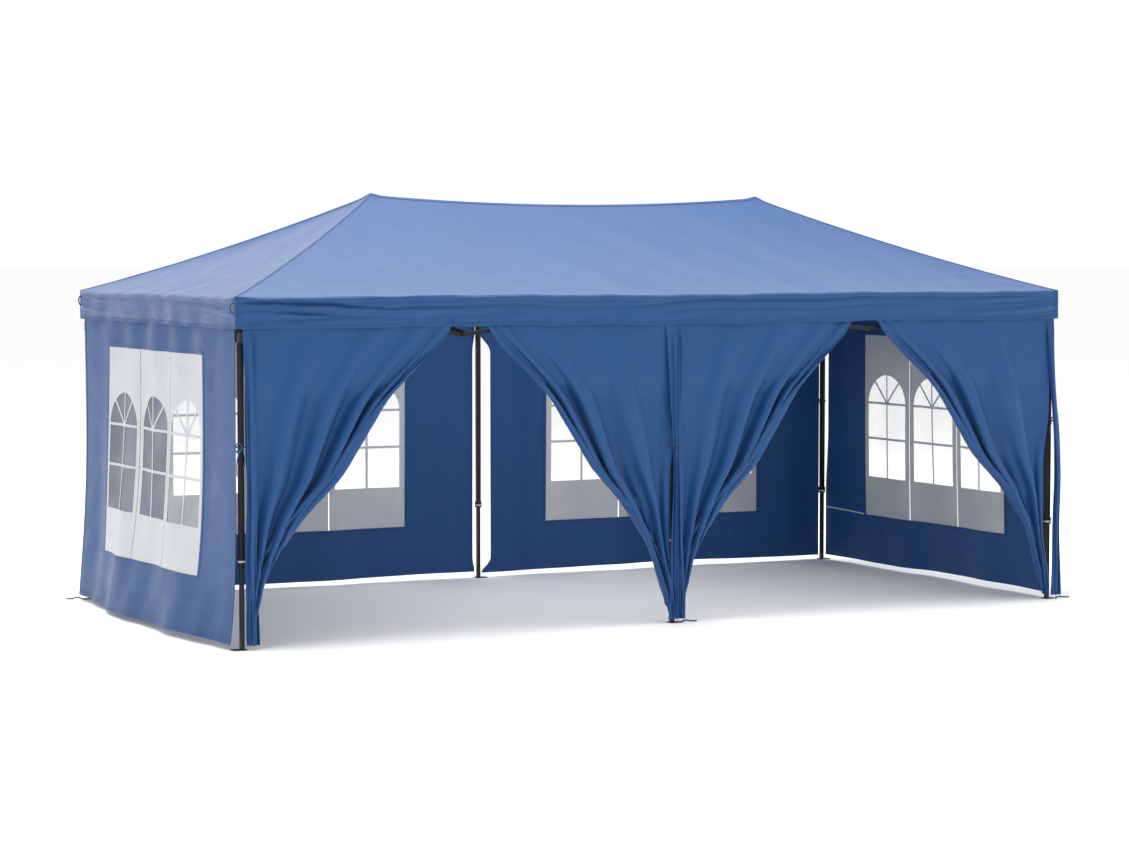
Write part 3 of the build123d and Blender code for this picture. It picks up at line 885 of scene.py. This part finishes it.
# Each curtain: its leg's x, the way it opens, its drape, the body it rides, how far it reaches,
# where its edge by the leg hangs, and how far that edge is drawn clear of the leg. The inner
# left one also covers the front of the middle leg, so it starts past the leg's axis.
CURTAINS = {
    "left_outer": (-BAY, 1, "full", "leg_front_left", 1.0, 0.016, 0.010),
    "left_inner": (0.0, -1, "flat", "leg_front_middle", 0.97, -0.024, 0.060),
    "right_inner": (0.0, 1, "full", "leg_front_middle", 0.97, 0.018, 0.010),
    "right_outer": (BAY, -1, "flat", "leg_front_right", 1.03, 0.012, 0.048),
}
for name, (leg_x, way, drape, body, reach, edge_x, parted) in CURTAINS.items():
    local = shaped(DRAPES[drape], reach, edge_x, parted)
    folded = lapel(local)
    cloth = Cloth()
    cloth.grid(placed(local, leg_x, way), cloth_uv(local, CURTAIN_WIDTH))
    cloth.grid(placed(folded, leg_x, way), cloth_uv(folded, LAPEL))
    piece = cloth.object(f"curtain_{name}", wall_fabric)
    # the zip tape lies on the lapel, along the free edge
    raised = placed(folded + np.array((0, 0.002, 0)), leg_x, way)
    edge = Cloth()
    edge.ribbon(raised[:, 0], raised[:, 1])
    edging = edge.object(f"curtain_{name}_zip_tape", band_fabric, BAND_CLOTH)
    settle(piece, body, X_AXIS, (leg_x, 0, 0), KEEP_WALL, "door_walls")
    settle(edging, body, X_AXIS, (leg_x, 0, 0), KEEP_WALL)


# The edges of the front walls that hang straight down their legs in close pleats.
# Each: middle in x at the top and at the hem, widths at the hem, knee, tie and top, pleats, body.
FALL_HEIGHTS = (0.03, 0.45, TIE_Z, 1.95)
FALLS = {
    "front_left": (-BAY + 0.044, -BAY + 0.050, (0.088, 0.080, 0.060, 0.085), 1.5, "leg_front_left"),
    "front_middle": (-0.004, 0.010, (0.120, 0.090, 0.058, 0.130), 2.5, "leg_front_middle"),
    "front_right": (BAY - 0.012, BAY + 0.046, (0.082, 0.068, 0.052, 0.060), 1.5, "leg_front_right"),
}


def fall_points(upper, lower, widths, pleats):
    f, t = np.meshgrid(np.linspace(-0.5, 0.5, 73), np.linspace(0, 1, 97))
    z = WALL_TOP - (WALL_HEIGHT + 0.008) * t
    width = np.interp(z, FALL_HEIGHTS, widths) + 0.004 * np.sin(5 * z + upper)
    tight = bell(z, TIE_Z, 0.16)
    below = ease((1.93 - z) / 0.15)  # under the valance the cloth is held flat
    pleat = np.cos(2 * pi * pleats * f + 0.9 * np.sin(1.7 * z + upper))
    pleat = pleat + 0.3 * np.cos(17 * pleats * f + 1.9 * z)
    deep = (0.010 + 0.004 * np.sin(3.1 * z + f * 5)) * (1 - 0.45 * tight) * (0.2 + 0.8 * below)
    middle = upper + (lower - upper) * ease(t * 1.6)
    x = middle + f * width + (0.006 * np.sin(3.7 * z + 1.3 * upper) + 0.004 * np.sin(9 * z)) * t
    y = FRONT_Y - WALL_OUT - 0.004 - 0.012 * below - deep * pleat - 0.008 * tight
    return np.stack((x, y, z), axis=-1)


for name, (upper, lower, widths, pleats, body) in FALLS.items():
    points = fall_points(upper, lower, widths, pleats)
    stretch = np.linalg.norm(np.diff(points, axis=1, prepend=points[:, :1]), axis=2)
    across = np.cumsum(stretch, axis=1)
    up = np.broadcast_to(np.linspace(WALL_HEIGHT, 0, points.shape[0])[:, None], across.shape)
    fall = Cloth()
    fall.grid(points, np.stack((across, up), axis=-1))
    piece = fall.object(f"curtain_fall_{name}", wall_fabric)
    settle(piece, body, X_AXIS, (upper, 0, 0), 0.8)


# ---- Small parts --------------------------------------------------------------------------
LEGS = {f"{end}_{side}": (x, y) for end, y in (("front", FRONT_Y), ("back", BACK_Y))
        for side, x in (("left", -BAY), ("middle", 0.0), ("right", BAY))}


def box_mesh(name, outer, inner, low, high, at, material):
    """Square sleeve of the given outer and inner width, from low to high round a leg."""
    x, y = at
    corners = ((-1, -1), (1, -1), (1, 1), (-1, 1))
    rings = [(outer, low), (outer, high), (inner, high), (inner, low)]
    points = [(x + cx * w / 2, y + cy * w / 2, z) for w, z in rings for cx, cy in corners]
    faces = []
    for ring in range(4):
        for i in range(4):
            a, b = ring * 4 + i, ring * 4 + (i + 1) % 4
            c, d = (b + 4) % 16, (a + 4) % 16
            faces.append((a, b, c, d))
    mesh = bpy.data.meshes.new(name)
    mesh.from_pydata(points, [], faces)
    mesh.materials.append(material)
    piece = bpy.data.objects.new(name, mesh)
    bpy.context.scene.collection.objects.link(piece)
    bevel = piece.modifiers.new("bevel", "BEVEL")
    bevel.width = 0.0012
    bevel.segments = 2
    return piece


# The pale ring under each outer tube's collar.
RING_OUTER, RING_INNER, RING_LOW, RING_HIGH = 0.0395, 0.0385, 0.5225, 0.5345
for leg, at in LEGS.items():
    ring = box_mesh(f"leg_ring_{leg}", RING_OUTER, RING_INNER, RING_LOW, RING_HIGH, at, ring_plastic)
    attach(ring, f"leg_{leg}")


def tube_curve(name, points, radius, material):
    """Round cord through the points, as a mesh."""
    curve = bpy.data.curves.new(name, "CURVE")
    curve.dimensions = "3D"
    spline = curve.splines.new("POLY")
    spline.points.add(len(points) - 1)
    for point, at in zip(spline.points, points):
        point.co = (*at, 1)
    curve.bevel_depth = radius
    curve.bevel_resolution = 3
    curve.use_fill_caps = True
    curve.materials.append(material)
    piece = bpy.data.objects.new(name, curve)
    bpy.context.scene.collection.objects.link(piece)
    return piece


def smooth_line(knots, count=12):
    """Catmull-Rom line through the knots."""
    knots = [Vector(k) for k in knots]
    padded = [2 * knots[0] - knots[1], *knots, 2 * knots[-1] - knots[-2]]
    line = []
    for a, b, c, d in zip(padded, padded[1:], padded[2:], padded[3:]):
        for i in range(count):
            f = i / count
            line.append(b + 0.5 * f * (c - a + f * (2 * a - 5 * b + 4 * c - d + f * (3 * (b - c) + d - a))))
    return line + [knots[-1]]


def cord_piece(name, knots, radius, body):
    """A strap end through the knots, riding a body."""
    line = smooth_line(knots)
    piece = tube_curve(name, line, radius, blue_strap)
    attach(piece, body)


CORD_R, TIE_R = 0.0034, 0.0275
# A tie's bow loop and its two ends: steps sideways, steps out from the knot, and heights, as
# metres for the bow and as shares of the end's length for the ends.
BOW = ((0.03, 0.010, 0.028), (0.055, 0.012, -0.004), (0.032, 0.010, -0.026), (0.004, 0.008, -0.005))
TIE_ENDS = {
    1: (1.0, ((0.030, 0.012, -0.25), (0.040, 0.009, -0.6), (0.040, 0.011, -1))),
    2: (0.7, ((-0.002, 0.012, -0.25), (-0.0112, 0.009, -0.6), (-0.0048, 0.011, -1))),
}


def tie(leg, height, way, drop, reach=TIE_R):
    """A wall tie knotted round a leg, with a bow loop and two free ends."""
    x, y = LEGS[leg]
    body = f"leg_{leg}"
    out = -1 if y < 0 else 1
    face = y + out * reach
    wide = max(TIE_R, 0.75 * reach)
    around = []
    for a in np.linspace(0, 2 * pi, 33):
        deep = reach * max(0, cos(a)) + TIE_R * min(0, cos(a))
        around.append((x + wide * sin(a), y + out * deep, height + 0.004 * sin(2 * a)))
    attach(tube_curve(f"tie_{leg}_loop", around, CORD_R, blue_strap), body)
    start = (x, face + out * 0.004, height)
    bow = [start] + [(x + way * dx, face + out * dy, height + dz) for dx, dy, dz in BOW]
    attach(tube_curve(f"tie_{leg}_bow", smooth_line(bow), CORD_R, blue_strap), body)
    for number, (share, path) in TIE_ENDS.items():
        length = share * drop
        knots = [start] + [(x + way * dx, face + out * dy, height + dz * length) for dx, dy, dz in path]
        cord_piece(f"tie_{leg}_end_{number}", knots, CORD_R, body)


tie("front_left", 1.21, -1, 0.17)
tie("front_right", 1.23, 1, 0.15)
tie("back_right", 1.22, -1, 0.14)
tie("front_middle", TIE_Z, 1, 0.12, 0.056)

# Webbing ends that show on the ground beside the feet: steps outwards, sideways, and heights.
STRAP_END = ((0.066, 0.012, 0.006), (0.095, 0.022, 0.012), (0.125, 0.018, 0.0055), (0.165, 0.030, 0.0055))
for leg, way, side in (("back_left", -1, 1), ("front_middle", 1, -1), ("front_right", 1, -1)):
    x, y = LEGS[leg]
    knots = [(x + way * dx, y + side * dy, z) for dx, dy, z in STRAP_END]
    cord_piece(f"strap_end_{leg}", knots, 0.0045, f"lower_leg_{leg}")

# Rope loops under the corners of the roof cover, for guy ropes: steps outwards, and heights.
GUY_LOOP = ((0.0, 2.066), (0.013, 2.060), (0.019, 2.035), (0.012, 2.010), (0.0, 2.003))
for side, x_way in (("left", -1), ("right", 1)):
    for end, y_way in (("front", -1), ("back", 1)):
        x, y = x_way * (EAVE_X + 0.004), y_way * (EAVE_Y - 0.035)
        line = smooth_line([(x + x_way * away, y, z) for away, z in GUY_LOOP])
        loop = tube_curve(f"guy_loop_{side}_{end}", line, 0.0045, blue_strap)
        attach(loop, f"leg_{end}_{side}")

note_size("before_finish")

# ---- Floor and light ----------------------------------------------------------------------
SPREAD, FLOOR_Z = 300.0, -0.001
floor_mesh = bpy.data.meshes.new("floor")
corners = [(-SPREAD, -SPREAD), (SPREAD, -SPREAD), (SPREAD, SPREAD), (-SPREAD, SPREAD)]
floor_mesh.from_pydata([(x, y, FLOOR_Z) for x, y in corners], [], [(0, 1, 2, 3)])
floor = bpy.data.objects.new("floor", floor_mesh)
bpy.context.scene.collection.objects.link(floor)
pale = Nodes("pale_floor", (0.97, 0.97, 0.97), 1.0, Specular_IOR_Level=0.0)
floor_mesh.materials.append(pale.done())

world = bpy.data.worlds.new("studio")
bpy.context.scene.world = world
world.use_nodes = True
world.node_tree.nodes["Background"].inputs["Color"].default_value = (1, 1, 1, 1)
world.node_tree.nodes["Background"].inputs["Strength"].default_value = 1.0


def soft_light(name, at, aim, size, power):
    data = bpy.data.lights.new(name, "AREA")
    data.size = size
    data.energy = power
    light = bpy.data.objects.new(name, data)
    light.location = at
    light.rotation_euler = (Vector(aim) - Vector(at)).to_track_quat("-Z", "Y").to_euler()
    light.visible_camera = False
    bpy.context.scene.collection.objects.link(light)


soft_light("overhead", (-0.8, 1.0, 13), (0, 0, 1), 9, 2080)
# daylight that glows through the roof cloth
soft_light("under_roof", (0, 0, 2.02), (0, 0, 0), 2.4, 26)
bpy.context.scene.view_settings.view_transform = "Standard"
